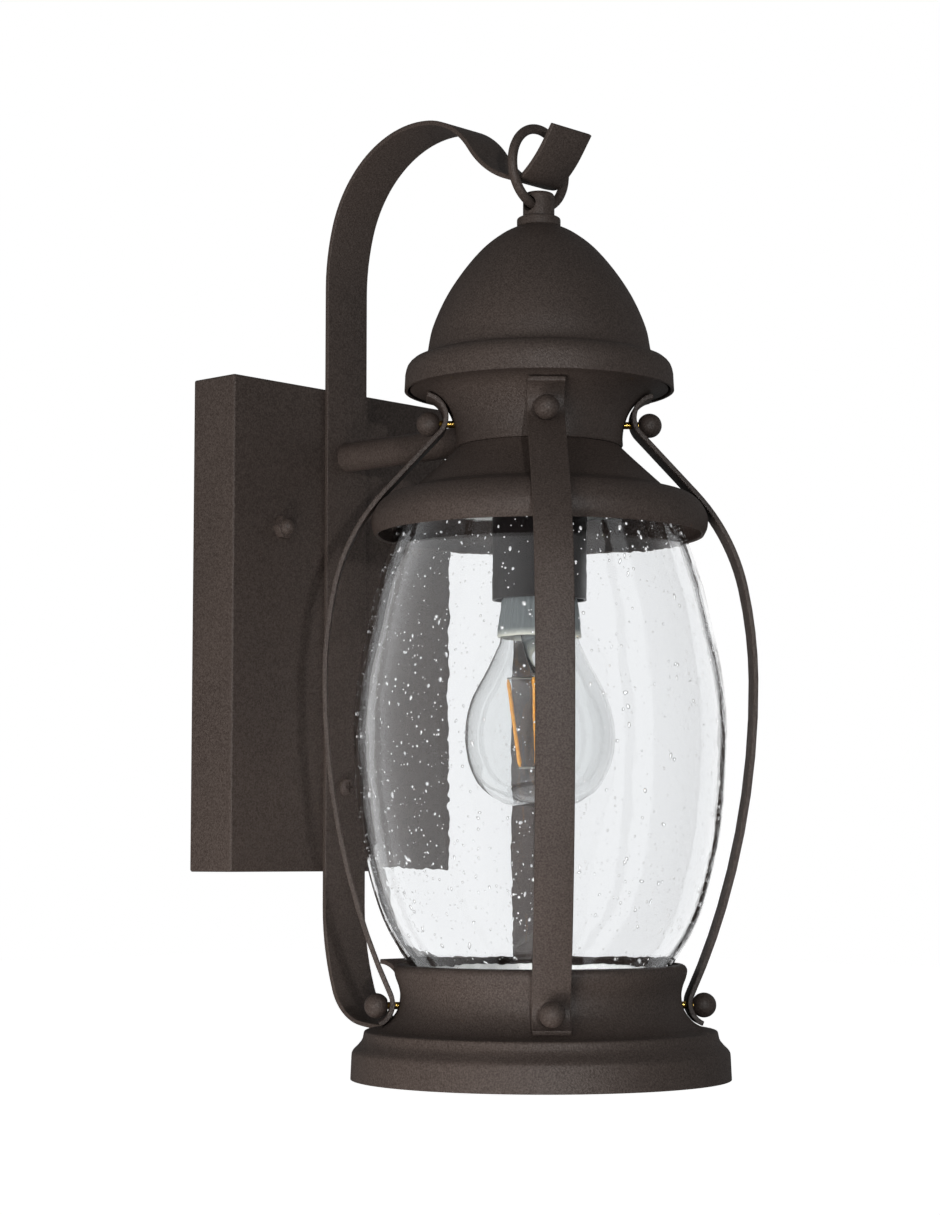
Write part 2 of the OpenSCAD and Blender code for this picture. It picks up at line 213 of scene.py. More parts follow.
# Zinc plate is thin and bright, with a faint cloudy mottle from the plating bath.
zinc_plate, tree, shader, place = new_material("zinc_plated_steel")
mottle = add_node(tree, "ShaderNodeTexNoise", inputs={"Vector": place, "Scale": 260.0, "Detail": 4.0})
tree.links.new(ramp(tree, mottle.outputs["Fac"], [(0.35, linear("#9fa2a4")), (0.7, linear("#bfc1c1"))]),
    shader.inputs["Base Color"])
mottle_gloss = add_node(tree, "ShaderNodeMapRange", inputs={"Value": mottle.outputs["Fac"],
    "To Min": 0.24, "To Max": 0.42})
tree.links.new(mottle_gloss.outputs["Result"], shader.inputs["Roughness"])
shader.inputs["Metallic"].default_value = 1.0
dress_cad(zinc_plate, "mounting_crossbar", "mounting_studs")

# The ground screw is zinc plated and dyed green, and the dye's tone drifts a little at random.
green_zinc, tree, shader, place = new_material("green_dyed_zinc")
dye = add_node(tree, "ShaderNodeTexNoise", inputs={"Vector": place, "Scale": 500.0, "Detail": 3.0})
tree.links.new(ramp(tree, dye.outputs["Fac"], [(0.35, linear("#1d5a34")), (0.7, linear("#2f8a50"))]),
    shader.inputs["Base Color"])
shader.inputs["Metallic"].default_value = 1.0
shader.inputs["Roughness"].default_value = 0.38
dress_cad(green_zinc, "ground_screw")


def draw_outline(name, outline):
    """Draws an open line through (radius, height) points in the XZ plane, one corner at a time."""
    piece = start_piece(name, bpy.ops.mesh.primitive_plane_add, size=MM,
        location=(outline[0][0], 0, outline[0][1]))
    edit(piece)
    bpy.ops.mesh.merge(type="CENTER")
    for (r, z), (next_r, next_z) in zip(outline, outline[1:]):
        bpy.ops.mesh.extrude_region_move(TRANSFORM_OT_translate={"value": (next_r - r, 0, next_z - z)})
    bpy.ops.mesh.select_all(action="SELECT")
    return piece


def spin_outline(name, outline, steps=96):
    """Turns an outline of (radius, height) points about the Z axis, as a metal spinner would."""
    piece = draw_outline(name, outline)
    bpy.ops.mesh.spin(steps=steps, angle=math.tau, center=(0, 0, 0), axis=(0, 0, 1))
    bpy.ops.mesh.select_all(action="SELECT")
    bpy.ops.mesh.remove_doubles(threshold=0.01 * MM)
    bpy.ops.mesh.normals_make_consistent(inside=False)
    leave_edit()
    return piece


def arc(centre, radius, start, end, steps):
    """Points of (radius, height) along an arc, with angles in degrees from the radius axis."""
    angles = [math.radians(start + (end - start) * i / steps) for i in range(steps + 1)]
    return [(centre[0] + radius * math.cos(a), centre[1] + radius * math.sin(a)) for a in angles]


def join_pieces(whole, *others):
    """Makes several meshes one piece."""
    bpy.ops.object.select_all(action="DESELECT")
    for other in others:
        other.select_set(True)
    whole.select_set(True)
    bpy.context.view_layer.objects.active = whole
    bpy.ops.object.join()


def copy_piece(piece, name, turn):
    """Copies a piece with its own mesh, and moves the copy by a matrix."""
    copy = piece.copy()
    copy.data = piece.data.copy()
    copy.name = name
    copy.data.name = name
    copy.data.transform(turn)
    bpy.context.scene.collection.objects.link(copy)
    return copy


# A piece that stands on the backplate's face is made about Z and laid so that its Z points to the room.
TO_THE_ROOM = Matrix.Rotation(math.radians(90), 4, "X")
nuts_lo, nuts_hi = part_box("cap_nuts")
stud_x = (nuts_hi.x - nuts_lo.x) / 2 - CAP_NUT_FLATS / 2
nut_skirt = start_piece("cap_nuts_on_studs", bpy.ops.mesh.primitive_cylinder_add, vertices=6,
    radius=CAP_NUT_FLATS / 2 / math.cos(math.radians(30)), depth=CAP_NUT_SKIRT,
    location=(0, 0, CAP_NUT_SKIRT / 2), rotation=(0, 0, math.radians(30)))
edit(nut_skirt)
choose(nut_skirt, "EDGE", lambda line: min(v.co.z for v in line.verts) > CAP_NUT_SKIRT / 2)
bpy.ops.mesh.bevel(offset=CAP_NUT_CHAMFER, segments=2, affect="EDGES")
leave_edit()
dome_foot = CAP_NUT_SKIRT - CAP_NUT_DOME_SUNK
nut_dome = spin_outline("nut_dome", [(CAP_NUT_DOME, CAP_NUT_SKIRT / 2)]
    + arc((0, dome_foot), CAP_NUT_DOME, 0, 90, 12), steps=40)
join_pieces(nut_skirt, nut_dome)
smooth(nut_skirt)
second_nut = copy_piece(nut_skirt, "second_nut",
    Matrix.Translation((stud_x, plate_lo.y, 0)) @ TO_THE_ROOM)
nut_skirt.data.transform(Matrix.Translation((-stud_x, plate_lo.y, 0)) @ TO_THE_ROOM)
join_pieces(nut_skirt, second_nut)
finish_piece(nut_skirt, powder_coat, "fixture", "bronze", "cap_nuts")


# ---------------------------------------------------------------- scrolled bar
# One long flat steel bar carries the lantern. It runs straight down the backplate, rises over the
# lantern in an arch that ends in an upturned hook, and curls up behind the base. It is rolled cold
# from flat stock with softened edges, and one pan-head screw and the arm hold it to the plate.
BAR_WIDTH = 24 * MM
BAR_THICK = 2 * MM
BAR_START = 310 * MM
# Each step is (radius, turn in degrees, to the left above 0), and (0, length) is a straight
BAR_UP = [(0, 25.5), (90.3, -17.1), (51.6, -79.6), (35.3, -48.5), (44, 41.9), (5, 48.6), (47.6, 19.3),
    (0, 8.6)]
BAR_DOWN_RUN = BAR_START - 84 * MM
BAR_DOWN = [(0, 16.4), (107.1, 19.4), (20.5, 60), (69, 9.7), (13.6, 180.2)]
EDGE_ROUND = 0.4 * MM
TURN_STEP = 3
LANTERN_FOOT = 228.2 * MM

base_lo, base_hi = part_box("base")
axis_y = (base_lo.y + base_hi.y) / 2
base_z = -LANTERN_FOOT
TO_LANTERN = Matrix.Translation((0, axis_y, base_z))


def roll_flat(start, heading, steps, forward):
    """Draws the selected end of a flat bar along straights and arcs in the plane of forward and up."""
    up = Vector((0, 0, 1))
    hinge = forward.cross(up)
    point = Vector(start)
    for radius, amount in steps:
        aim = math.radians(heading)
        along = forward * math.cos(aim) + up * math.sin(aim)
        left = up * math.cos(aim) - forward * math.sin(aim)
        if radius == 0:
            bpy.ops.mesh.extrude_region_move(TRANSFORM_OT_translate={"value": along * amount * MM})
            point += along * amount * MM
            continue
        side = math.copysign(1, amount)
        centre = point + left * side * radius * MM
        bpy.ops.mesh.spin(steps=math.ceil(abs(amount) / TURN_STEP), angle=-math.radians(amount),
            center=centre, axis=hinge)
        point = centre + Matrix.Rotation(math.radians(amount), 3, hinge) @ (point - centre)
        heading += amount


def start_flat(name, middle, width_axis, width, thick_axis, thick):
    """Adds the four-cornered cross-section that a flat bar is drawn from, and opens it."""
    along = width_axis.cross(thick_axis)
    piece = start_piece(name, bpy.ops.mesh.primitive_plane_add, size=1)
    turn = Matrix((width_axis * width, thick_axis * thick, along)).transposed().to_4x4()
    piece.data.transform(Matrix.Translation(middle) @ turn)
    edit(piece)
    bpy.ops.mesh.delete(type="ONLY_FACE")
    bpy.ops.mesh.select_all(action="SELECT")
    return piece


def close_flat(piece, edge_round):
    """Caps a drawn bar's two ends, turns its faces outwards and rounds its edges."""
    choose(piece, "EDGE", lambda line: line.is_boundary)
    bpy.ops.mesh.fill_holes(sides=4)
    bpy.ops.mesh.select_all(action="SELECT")
    bpy.ops.mesh.remove_doubles(threshold=0.005 * MM)
    bpy.ops.mesh.normals_make_consistent(inside=False)
    leave_edit()
    apply_modifier(piece, "BEVEL", width=edge_round, segments=3, limit_method="ANGLE",
        angle_limit=math.radians(50))
    smooth(piece)


bar_y = plate_lo.y - BAR_THICK / 2
to_room = Vector((0, -1, 0))
bar_top = Vector((0, bar_y, base_z + BAR_START))
bar = start_flat("scrolled_bar", bar_top, Vector((1, 0, 0)), BAR_WIDTH, Vector((0, 1, 0)), BAR_THICK)
roll_flat(bar_top, 90, BAR_UP, to_room)
choose(bar, "VERT", lambda corner: abs(corner.co.z - bar_top.z) < 0.01 * MM)
bpy.ops.mesh.extrude_region_move(TRANSFORM_OT_translate={"value": (0, 0, -BAR_DOWN_RUN)})
roll_flat(bar_top - Vector((0, 0, BAR_DOWN_RUN)), -90, BAR_DOWN, to_room)
close_flat(bar, EDGE_ROUND)
finish_piece(bar, powder_coat, "fixture", "bronze", "bracket_bar")

# The bar screw: a coated pan head with a cross recess.
SCREW_HEAD_HIGH = 2.4
SCREW_OUTLINE = [(0, -7), (2, -7), (2, 0), (4, 0), (4, 1), (3.6, 1.7), (2.7, 2.2), (1.4, SCREW_HEAD_HIGH),
    (0, SCREW_HEAD_HIGH)]
RECESS_LONG = 4.2 * MM
RECESS_WIDE = 0.9 * MM
RECESS_CUT = 2.4 * MM


def in_mm(points):
    """Turns a list of points given in millimetres into metres."""
    return [(r * MM, z * MM) for r, z in points]


screw_lo, screw_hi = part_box("bar_screw")
screw_z = (screw_lo.z + screw_hi.z) / 2
bar_screw = spin_outline("bar_screw_head", in_mm(SCREW_OUTLINE), steps=40)
for turn in (0, 90):
    cutter = start_piece("recess_cutter", bpy.ops.mesh.primitive_cube_add, size=1,
        location=(0, 0, SCREW_HEAD_HIGH * MM), scale=(RECESS_LONG, RECESS_WIDE, RECESS_CUT),
        rotation=(0, 0, math.radians(turn)))
    apply_modifier(bar_screw, "BOOLEAN", object=cutter, operation="DIFFERENCE")
    bpy.data.objects.remove(cutter)
bar_screw.data.transform(Matrix.Translation((0, plate_lo.y - BAR_THICK, screw_z)) @ TO_THE_ROOM)
smooth(bar_screw, 25)
finish_piece(bar_screw, powder_coat, "fixture", "bronze", "bar_screw")
dress_cad(zinc_plate, "bar_screw_nut")


# ---------------------------------------------------------------- arm
# The arm is a coated sleeve over a threaded pipe. The pipe passes through the plate, the bar and the
# neck, and a nut at each end draws the three together, with the wires inside it.
ARM_WALL = 1.4 * MM
ARM_INTO_NECK = 0.5 * MM
ARM_CHAMFER = 0.3 * MM
arm_lo, arm_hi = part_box("arm_tube")
arm_r = (arm_hi.x - arm_lo.x) / 2
arm_z = (arm_lo.z + arm_hi.z) / 2
arm_long = arm_hi.y - arm_lo.y + ARM_INTO_NECK
arm = spin_outline("arm_sleeve", [(arm_r - ARM_CHAMFER, 0), (arm_r, ARM_CHAMFER), (arm_r, arm_long),
    (arm_r - ARM_WALL, arm_long), (arm_r - ARM_WALL, 0), (arm_r - ARM_CHAMFER, 0)], steps=64)
arm.data.transform(Matrix.Translation((0, arm_hi.y, arm_z)) @ TO_THE_ROOM)
smooth(arm)
finish_piece(arm, powder_coat, "fixture", "bronze", "arm_tube")
dress_cad(zinc_plate, "arm_pipe", "arm_nuts")


# ---------------------------------------------------------------- ring, finial post and collar
# A ring of round bar is bent, put through the finial's cross hole and round the hook, and welded
# shut. The post and its collar are turned steel, screwed to the top of the lantern's central pipe.
WIRE_R = 2 * MM
WELD_SWELL = 0.12 * MM
WELD_HALF = 1.2 * MM
ring_lo, ring_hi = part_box("ring")
ring_mid = (ring_lo + ring_hi) / 2
ring = start_piece("hanging_ring", bpy.ops.mesh.primitive_torus_add,
    major_radius=(ring_hi.x - ring_lo.x) / 2 - WIRE_R, minor_radius=WIRE_R,
    major_segments=120, minor_segments=24, location=ring_mid, rotation=(math.radians(90), 0, 0))
edit(ring)
choose(ring, "VERT", lambda v: abs(v.co.x) < WELD_HALF and v.co.z < ring_mid.z)
bpy.ops.transform.shrink_fatten(value=-WELD_SWELL)
leave_edit()
smooth(ring, 60)
finish_piece(ring, powder_coat, "ring", "bronze", "ring")

POST_R = 6.5 * MM
POST_HOLE_R = 3.25 * MM
POST_HOLE_UP = 355.7 * MM
POST_OUTLINE = [(0, 350.5), (6.5, 350.5), (6.5, 359.1), (6.35, 359.8), (5.9, 360.4), (5.2, 360.75),
    (4.6, 360.8), (0, 360.8)]
COLLAR_OUTLINE = [(4.75, 346.4), (8.7, 346.4), (9, 346.7), (9, 349.4), (8.8, 350), (8.2, 350.4),
    (7.6, 350.5), (4.75, 350.5), (4.75, 346.4)]


post = spin_outline("finial_post_turned", in_mm(POST_OUTLINE), steps=64)
hole = start_piece("cross_hole_cutter", bpy.ops.mesh.primitive_cylinder_add, vertices=48,
    radius=POST_HOLE_R, depth=4 * POST_R, location=(0, 0, POST_HOLE_UP), rotation=(0, math.radians(90), 0))
apply_modifier(post, "BOOLEAN", object=hole, operation="DIFFERENCE")
bpy.data.objects.remove(hole)
collar = spin_outline("finial_collar_turned", in_mm(COLLAR_OUTLINE), steps=72)
for piece, node in ((post, "finial_post"), (collar, "finial_collar")):
    piece.data.transform(TO_LANTERN)
    smooth(piece)
    finish_piece(piece, powder_coat, "fixture", "bronze", node)


# ---------------------------------------------------------------- dome cap, neck and roof
# Three shells of 1.2 mm steel, spun over formers. The dome cap ends in a rounded shoulder and a
# straight lip, the neck flares like a trumpet under it, and the roof ends in a rolled rim. A nut at
# each end of the central pipe clamps them together.
DOME_LIP = [(55.2, 278), (55.1, 280), (55, 282), (54.9, 284.4), (54.5, 286.4), (53.9, 288), (53, 289.2),
    (51.7, 290.3), (50, 291)]
DOME_CURVE = [(50, 291), (46.3, 292.6), (43.9, 303.5), (38.6, 315.9), (31.4, 327.2), (23.3, 336.8),
    (15.4, 343.1), (9.5, 346.2)]
NECK_CURVE = [(34.2, 255.5), (34.1, 259), (35, 264.3), (37.4, 270), (41.6, 274.9), (46.6, 277.5),
    (52.8, 278.4)]
ROOF_SLOPE = [(33.4, 254.3), (38, 249.8), (44, 244.2), (51.6, 237.2)]
ROOF_RIM = [(51.6, 237.2), (57.8, 235.5), (62.2, 234), (66, 230.6), (68.3, 226), (68.3, 221.4),
    (66.8, 218.2)]
PIPE_HOLE = 5
NECK_FLOOR = [(PIPE_HOLE, 254.3), (32.8, 254.3), (33.7, 254.6)]


def through(keys, steps):
    """Points on a smooth curve through the key points, steps to each gap."""
    points = []
    last = len(keys) - 1
    for i in range(last):
        before, a, b, after = (Vector(keys[max(0, min(last, i + j))]) for j in (-1, 0, 1, 2))
        for k in range(steps):
            t = k / steps
            points.append(tuple(0.5 * (2 * a + (b - before) * t + (2 * before - 5 * a + 4 * b - after) * t**2
                + (3 * a - before - 3 * b + after) * t**3)))
    return points + [keys[-1]]


def spin_shell(name, outline, wall, steps=128, crease=35):
    """Spins an outline in millimetres on the lantern's axis and gives it a wall on its inner side."""
    piece = spin_outline(name, in_mm(outline), steps)
    middle = sum(z for r, z in outline) / len(outline) * MM
    outward = sum(f.normal.x * f.center.x + f.normal.y * f.center.y + f.normal.z * (f.center.z - middle)
        for f in piece.data.polygons)
    if outward < 0:
        piece.data.flip_normals()
    apply_modifier(piece, "SOLIDIFY", thickness=wall, offset=-1, use_even_offset=True)
    piece.data.transform(TO_LANTERN)
    smooth(piece, crease)
    return piece


dome = spin_shell("dome_cap_spun", DOME_LIP + through(DOME_CURVE, 6)[1:] + [(PIPE_HOLE, 346.4)], SHEET)
neck = spin_shell("neck_spun", NECK_FLOOR + through(NECK_CURVE, 6), SHEET)
roof = spin_shell("roof_spun", [(PIPE_HOLE, 254.3), (32, 254.3)] + through(ROOF_SLOPE, 4)
    + through(ROOF_RIM, 5)[1:], SHEET)
for piece, node in ((dome, "dome_cap"), (neck, "neck"), (roof, "roof")):
    finish_piece(piece, powder_coat, "fixture", "bronze", node)
dress_cad(zinc_plate, "centre_pipe", "pipe_nuts")


# ---------------------------------------------------------------- lampholder
# A deep-drawn cover in satin dark bronze hides the lampholder: a moulded phenolic body with a brass
# screw shell and a sprung brass contact at its top.
COVER_OUTLINE = [(19.2, 191.9), (19.2, 233.6), (18.9, 234.8), (18.2, 235.6), (17.2, 236),
    (PIPE_HOLE, 236)]
COVER_WALL = 1 * MM

satin_cover, tree, shader, place = new_material("satin_baked_enamel")
flow = add_node(tree, "ShaderNodeTexNoise", inputs={"Vector": place, "Scale": 180.0, "Detail": 2.0})
tree.links.new(ramp(tree, flow.outputs["Fac"], [(0.3, linear("#141111")), (0.75, linear("#1d1919"))]),
    shader.inputs["Base Color"])
shader.inputs["Roughness"].default_value = 0.42
flow_bump = add_node(tree, "ShaderNodeBump", inputs={"Height": flow.outputs["Fac"], "Strength": 0.15,
    "Distance": 0.0003})
tree.links.new(flow_bump.outputs["Normal"], shader.inputs["Normal"])
cover = spin_shell("lampholder_cover", COVER_OUTLINE, COVER_WALL, steps=72)
finish_piece(cover, satin_cover, "fixture", "dark_cover", "socket_cover")

# Phenolic is pressed from powder in a hot mould: off-white, with a dull skin and faint flow marks.
phenolic, tree, shader, place = new_material("moulded_phenolic")
marks = add_node(tree, "ShaderNodeTexNoise", inputs={"Vector": place, "Scale": 90.0, "Detail": 5.0})
tree.links.new(ramp(tree, marks.outputs["Fac"], [(0.3, linear("#d8d2c4")), (0.75, linear("#e9e4d8"))]),
    shader.inputs["Base Color"])
shader.inputs["Roughness"].default_value = 0.5
dress_cad(phenolic, "lampholder_body")

# Plain turned brass: fine tool rings across the axis make its reflection streaky.
turned_brass, tree, shader, place = new_material("turned_brass")
tool_rings = add_node(tree, "ShaderNodeTexNoise", inputs={"Vector": place, "Scale": 900.0, "Detail": 2.0})
tree.links.new(ramp(tree, tool_rings.outputs["Fac"], [(0.3, linear("#9c7a35")), (0.75, linear("#c9a557"))]),
    shader.inputs["Base Color"])
tool_gloss = add_node(tree, "ShaderNodeMapRange", inputs={"Value": tool_rings.outputs["Fac"],
    "To Min": 0.2, "To Max": 0.4})
tree.links.new(tool_gloss.outputs["Result"], shader.inputs["Roughness"])
shader.inputs["Metallic"].default_value = 1.0
dress_cad(turned_brass, "screw_shell", "holder_contact")


# ---------------------------------------------------------------- bulb
# A clear filament-style bulb hangs cap up in the lampholder: a nickel screw cap with a black glass
# insulator and a soldered tip, a ribbed plastic collar, a blown envelope, a glass stem, and four
# amber-coated rods of light-emitting chips held by bright wires.
CAP_THREADS = 5
CAP_PITCH = 3.63
THREAD_DEEP = 1.0
CAP_WALL = 0.35 * MM
COLLAR_RIBS = 40
RIB_DEPTH = 0.6 * MM
RIB_COLUMNS = 6
RIBS_FROM = 177.5 * MM
RIBS_TO = 192 * MM
RIBS_OUTSIDE = 15.2 * MM
COLLAR_SKIRT = [(12.6, 193), (14.2, 193), (14.9, 192.6), (15.5, 191.4), (16.2, 186), (16.7, 181),
    (17.1, 177.2), (16.8, 176.7), (16, 176.7), (14.6, 190.5), (12.6, 190.5), (12.6, 193)]
BULB_CURVE = [(14.9, 184), (15.7, 176.9), (18.6, 169.4), (23.8, 159.6), (28.4, 149.6), (30.4, 138.4),
    (29, 126.6), (24, 116.4), (15.4, 110), (7, 108.5), (0, 108.4)]
BULB_WALL = 0.35 * MM
STEM_OUTLINE = [(0, 192), (11.9, 192), (11.9, 190.8), (9.6, 189.6), (8.4, 187), (7.8, 177), (6.4, 171),
    (4.4, 165.5), (2.6, 162.4), (1.4, 161.7), (0, 161.6)]
ROD_END = [(0, 0), (0.5, 0), (0.5, 0.9), (0.6, 1), (0.8, 1.4)]
ROD_TOP = (13.2 * MM, 159.8 * MM)
ROD_FOOT = (8.2 * MM, 124.6 * MM)
ROD_TURN = 31

nickel, tree, shader, place = new_material("nickel_plated_brass")
polish = add_node(tree, "ShaderNodeTexNoise", inputs={"Vector": place, "Scale": 400.0, "Detail": 2.0})
tree.links.new(ramp(tree, polish.outputs["Fac"], [(0.3, linear("#b4b0a8")), (0.75, linear("#cfccc5"))]),
    shader.inputs["Base Color"])
shader.inputs["Metallic"].default_value = 1.0
shader.inputs["Roughness"].default_value = 0.28

cap_lo, cap_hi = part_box("bulb_cap")
cap_r = (cap_hi.x - cap_lo.x) / 2 / MM
thread = [(cap_r - THREAD_DEEP * math.sin(math.pi * i / 8) ** 2, 194.2 + CAP_PITCH * i / 8)
    for i in range(8 * CAP_THREADS + 1)]
bulb_cap = spin_shell("bulb_screw_cap", [(cap_r - 0.4, 193)] + thread + [(cap_r - 1.6, 213.6), (8, 215)],
    CAP_WALL, steps=72, crease=60)
finish_piece(bulb_cap, nickel, "bulb", "nickel", "bulb_cap")
dress_cad(zinc_plate, "bulb_contact")

# Vitrite is a black glass melted into the cap: glossy, with faint pits.
vitrite, tree, shader, place = new_material("black_vitrite")
pits = add_node(tree, "ShaderNodeTexNoise", inputs={"Vector": place, "Scale": 700.0, "Detail": 2.0})
pit_bump = add_node(tree, "ShaderNodeBump", inputs={"Height": pits.outputs["Fac"], "Strength": 0.2,
    "Distance": 0.0002})
tree.links.new(pit_bump.outputs["Normal"], shader.inputs["Normal"])
shader.inputs["Base Color"].default_value = linear("#121110")
shader.inputs["Roughness"].default_value = 0.12
dress_cad(vitrite, "bulb_insulator")

# The collar is moulded in milky grey plastic: light soaks in a little, and its lower lip looks creamy.
milky_plastic, tree, shader, place = new_material("milky_polycarbonate")
height = add_node(tree, "ShaderNodeSeparateXYZ", inputs={"Vector": place})
lip = add_node(tree, "ShaderNodeMapRange", inputs={"Value": height.outputs["Z"],
    "From Min": base_z + 176.7 * MM, "From Max": base_z + 180.5 * MM})
tree.links.new(ramp(tree, lip.outputs["Result"], [(0.0, linear("#d9d8cb")), (0.35, linear("#a9aca6")),
    (0.8, linear("#6d7374"))]), shader.inputs["Base Color"])
shader.inputs["Subsurface Weight"].default_value = 0.35
shader.inputs["Subsurface Radius"].default_value = (0.003, 0.003, 0.003)
shader.inputs["Roughness"].default_value = 0.32
bulb_collar = spin_outline("bulb_collar_ribbed", in_mm(COLLAR_SKIRT), steps=COLLAR_RIBS * RIB_COLUMNS)
for corner in bulb_collar.data.vertices:
    reach = math.hypot(corner.co.x, corner.co.y)
    if reach > RIBS_OUTSIDE and RIBS_FROM < corner.co.z < RIBS_TO:
        rib = math.cos(COLLAR_RIBS * math.atan2(corner.co.y, corner.co.x))
        shrink = 1 - RIB_DEPTH * (0.5 - 0.5 * rib) / reach
        corner.co.x *= shrink
        corner.co.y *= shrink
bulb_collar.data.transform(TO_LANTERN)
smooth(bulb_collar, 50)
finish_piece(bulb_collar, milky_plastic, "bulb", "grey_collar", "bulb_collar")

# Bulb glass is blown soda-lime: clear and smooth, seen only by its edges and reflections.
bulb_glass, tree, shader, place = new_material("blown_soda_lime_glass")
ripple = add_node(tree, "ShaderNodeTexNoise", inputs={"Vector": place, "Scale": 60.0, "Detail": 1.0})
ripple_bump = add_node(tree, "ShaderNodeBump", inputs={"Height": ripple.outputs["Fac"], "Strength": 0.12,
    "Distance": 0.001})
tree.links.new(ripple_bump.outputs["Normal"], shader.inputs["Normal"])
shader.inputs["Base Color"].default_value = linear("#fbfcfc")
shader.inputs["Roughness"].default_value = 0.0
shader.inputs["Transmission Weight"].default_value = 1.0
shader.inputs["IOR"].default_value = 1.5
envelope = spin_shell("bulb_envelope_blown", [(13.4, 190.2), (14.2, 190.2)] + through(BULB_CURVE, 6),
    BULB_WALL, crease=60)
finish_piece(envelope, bulb_glass, "bulb", "bulb_glass", "bulb_envelope")
stem = spin_outline("bulb_stem_pressed", in_mm(STEM_OUTLINE), steps=64)
stem.data.transform(TO_LANTERN)
smooth(stem, 60)
finish_piece(stem, bulb_glass, "bulb", "bulb_glass", "bulb_stem")
for clear_piece in (envelope, stem):
    clear_piece.visible_shadow = False

# The rods are strips of chips under silicone with yellow phosphor: a soft amber skin with bright tips.
amber_phosphor, tree, shader, place = new_material("phosphor_silicone")
chips = add_node(tree, "ShaderNodeTexNoise", inputs={"Vector": place, "Scale": 1100.0, "Detail": 1.0})
tree.links.new(ramp(tree, chips.outputs["Fac"], [(0.3, linear("#d98f2f")), (0.75, linear("#f0b254"))]),
    shader.inputs["Base Color"])
shader.inputs["Roughness"].default_value = 0.45
shader.inputs["Subsurface Weight"].default_value = 0.2
shader.inputs["Subsurface Radius"].default_value = (0.001, 0.0006, 0.0003)
rod_long = math.dist(ROD_TOP, ROD_FOOT)
rod_half = in_mm(ROD_END)
rod = spin_outline("filament_rods", rod_half + [(r, rod_long - z) for r, z in reversed(rod_half)], steps=20)
rod_lean = math.atan2(ROD_TOP[0] - ROD_FOOT[0], ROD_TOP[1] - ROD_FOOT[1])
rod.data.transform(Matrix.Translation((ROD_FOOT[0], 0, ROD_FOOT[1])) @ Matrix.Rotation(rod_lean, 4, "Y"))
other_rods = [copy_piece(rod, f"rod_{turn}", Matrix.Rotation(math.radians(turn), 4, "Z"))
    for turn in (90, 180, 270)]
join_pieces(rod, *other_rods)
rod.data.transform(TO_LANTERN @ Matrix.Rotation(math.radians(ROD_TURN), 4, "Z"))
smooth(rod, 40)
finish_piece(rod, amber_phosphor, "bulb", "amber_filament", "bulb_filaments")
dress_cad(nickel, "bulb_supports")


# ---------------------------------------------------------------- glass barrel
# The barrel is mouth-blown clear glass about 2 mm thick. Seeds, which are small air bubbles, are
# stirred into the melt on purpose, and blowing draws some of them long. Silicone rings cap its rims.
GLASS_CURVE = [(54.6, 231.2), (58.2, 221.6), (65.6, 200.2), (70.3, 179.5), (73.8, 161.7), (75.5, 143),
    (75.1, 125), (73, 102), (69.2, 82), (63.4, 63.5), (56.2, 50), (48.6, 39.6)]
GLASS_WALL = 2.2 * MM
WAVE_SIZE = 16 * MM
WAVE_DEPTH = 0.06 * MM
SEEDS = 2300
SEED_CHOICE = 11
SEED_LOW_SHARE = 0.14
SEED_SIZE = 0.2
SEED_SPREAD = 0.62
SEED_LARGEST = 0.85
SEED_SKIN = 0.2

seeded_glass, tree, shader, place = new_material("mouth_blown_glass")
sway = add_node(tree, "ShaderNodeTexNoise", inputs={"Vector": place, "Scale": 75.0, "Detail": 2.0})
sway_bump = add_node(tree, "ShaderNodeBump", inputs={"Height": sway.outputs["Fac"], "Strength": 0.1,
    "Distance": 0.001})
tree.links.new(sway_bump.outputs["Normal"], shader.inputs["Normal"])
shader.inputs["Base Color"].default_value = linear("#fafbfc")
shader.inputs["Roughness"].default_value = 0.0
shader.inputs["Transmission Weight"].default_value = 1.0
shader.inputs["IOR"].default_value = 1.5
barrel = spin_shell("glass_barrel", through(GLASS_CURVE, 6), GLASS_WALL, steps=160, crease=60)
waves = bpy.data.textures.new("blown_waves", "CLOUDS")
waves.noise_scale = WAVE_SIZE
apply_modifier(barrel, "DISPLACE", texture=waves, strength=WAVE_DEPTH, mid_level=0.5,
    texture_coords="LOCAL")
barrel.visible_shadow = False
finish_piece(barrel, seeded_glass, "fixture", "seeded_glass", "glass_shade")

# A seed is air inside the glass, so the light bends the other way at its skin. Its faint white glow is a
# painted glint, standing in for the light a seed catches.
seed_air_with_painted_glint, tree, shader, place = new_material("air_seed_glass_painted_glint")
seed_skin = add_node(tree, "ShaderNodeTexNoise", inputs={"Vector": place, "Scale": 900.0})
seed_bump = add_node(tree, "ShaderNodeBump", inputs={"Height": seed_skin.outputs["Fac"], "Strength": 0.1,
    "Distance": 0.0002})
tree.links.new(seed_bump.outputs["Normal"], shader.inputs["Normal"])
shader.inputs["Base Color"].default_value = linear("#fafbfc")
shader.inputs["Roughness"].default_value = 0.0
shader.inputs["Transmission Weight"].default_value = 1.0
shader.inputs["IOR"].default_value = 0.667
# Painted glint: a faint white glow on every seed, in place of the lamps' highlights.
shader.inputs["Emission Color"].default_value = linear("#ffffff")
shader.inputs["Emission Strength"].default_value = 0.3


def barrel_at(height):
    """Radius and outward lean of the barrel's outer face at a height, in millimetres and radians."""
    for (r1, z1), (r2, z2) in zip(GLASS_CURVE, GLASS_CURVE[1:]):
        if z2 <= height <= z1:
            return r2 + (r1 - r2) * (height - z2) / (z1 - z2), math.atan2(r1 - r2, z1 - z2)
    return GLASS_CURVE[-1][0], 0.0


